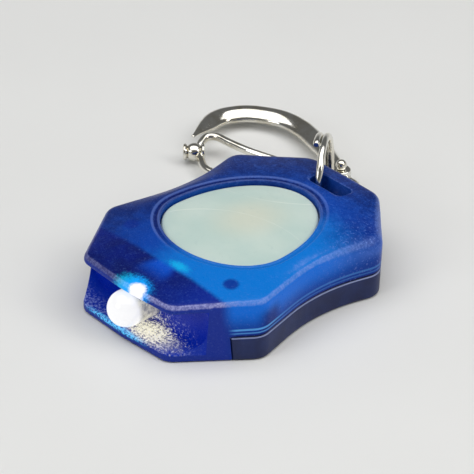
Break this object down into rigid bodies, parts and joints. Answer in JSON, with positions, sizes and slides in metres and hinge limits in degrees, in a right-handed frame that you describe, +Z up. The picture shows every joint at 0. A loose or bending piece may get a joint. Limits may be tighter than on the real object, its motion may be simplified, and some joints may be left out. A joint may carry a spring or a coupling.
{
  "type": "keychain flashlight",
  "caption": "Palm-size squeeze flashlight with a nose-mounted LED, an egg-shaped push button on top and a key slot at the tail that carries a split ring and a wire snap clip.",
  "frame": {"origin": "centre of the case's flat base face", "axes": "+Z up out of the button, -Y the way the light shines, +X to the right of the tail seen from above with the nose down"},
  "size_m": [0.0482, 0.0547, 0.012],
  "materials": {
    "blue_plastic": "translucent frosted blue moulding",
    "navy_plastic": "dark blue moulding",
    "button_plastic": "soft pale green-white moulding",
    "lens_epoxy": "water-clear epoxy",
    "lead_metal": "tinned lead frame",
    "die_gold": "yellow phosphor and gold wire",
    "contact_copper": "phosphor bronze strip",
    "insulator": "thin polyester film",
    "cell_steel": "nickel-plated cell steel",
    "cell_gasket": "dark moulded seal",
    "screw_steel": "dark zinc-plated",
    "nickel": "bright nickel plate"
  },
  "bodies": {
    "case": {"upper_shell": "blue_plastic", "lower_shell": "navy_plastic", "switch_leaf": "contact_copper", "contact_spacer": "insulator", "base_contact": "contact_copper", "cell_lower_can": "cell_steel", "cell_lower_gasket": "cell_gasket", "cell_lower_cap": "cell_steel", "cell_upper_can": "cell_steel", "cell_upper_gasket": "cell_gasket", "cell_upper_cap": "cell_steel", "led_lens": "lens_epoxy", "led_cathode": "lead_metal", "led_anode": "lead_metal", "led_die": "die_gold", "led_bond_wire": "die_gold", "screw_left": "screw_steel", "screw_right": "screw_steel"},
    "button": {"push_button": "button_plastic"},
    "ring": {"split_ring": "nickel"},
    "clip": {"clip_loop": "nickel", "clip_barrel": "nickel", "clip_rivet": "nickel"},
    "bow": {"clip_bow": "nickel"}
  },
  "joints": [
    {"name": "button_press", "type": "slide", "parent": "case", "child": "button", "axis": [0, 0, -1], "range_m": [0, 0.0008], "stiffness_N_per_m": 2500, "deforming": ["switch_leaf"]},
    {"name": "ring_swing", "type": "hinge", "parent": "case", "child": "ring", "pos_m": [-0.00104, 0.01537, 0.006], "axis": [0.7694, 0.6388, 0], "range_deg": [-2, 20]},
    {"name": "clip_slide_round_ring", "type": "hinge", "parent": "ring", "child": "clip", "pos_m": [-0.00455, 0.0196, 0.006], "axis": [0.7694, 0.6388, 0], "range_deg": [-2, 90]},
    {"name": "bow_open", "type": "hinge", "parent": "clip", "child": "bow", "pos_m": [-0.0078, 0.0263, 0], "axis": [0, 0, -1], "range_deg": [0, 35]}
  ]
}
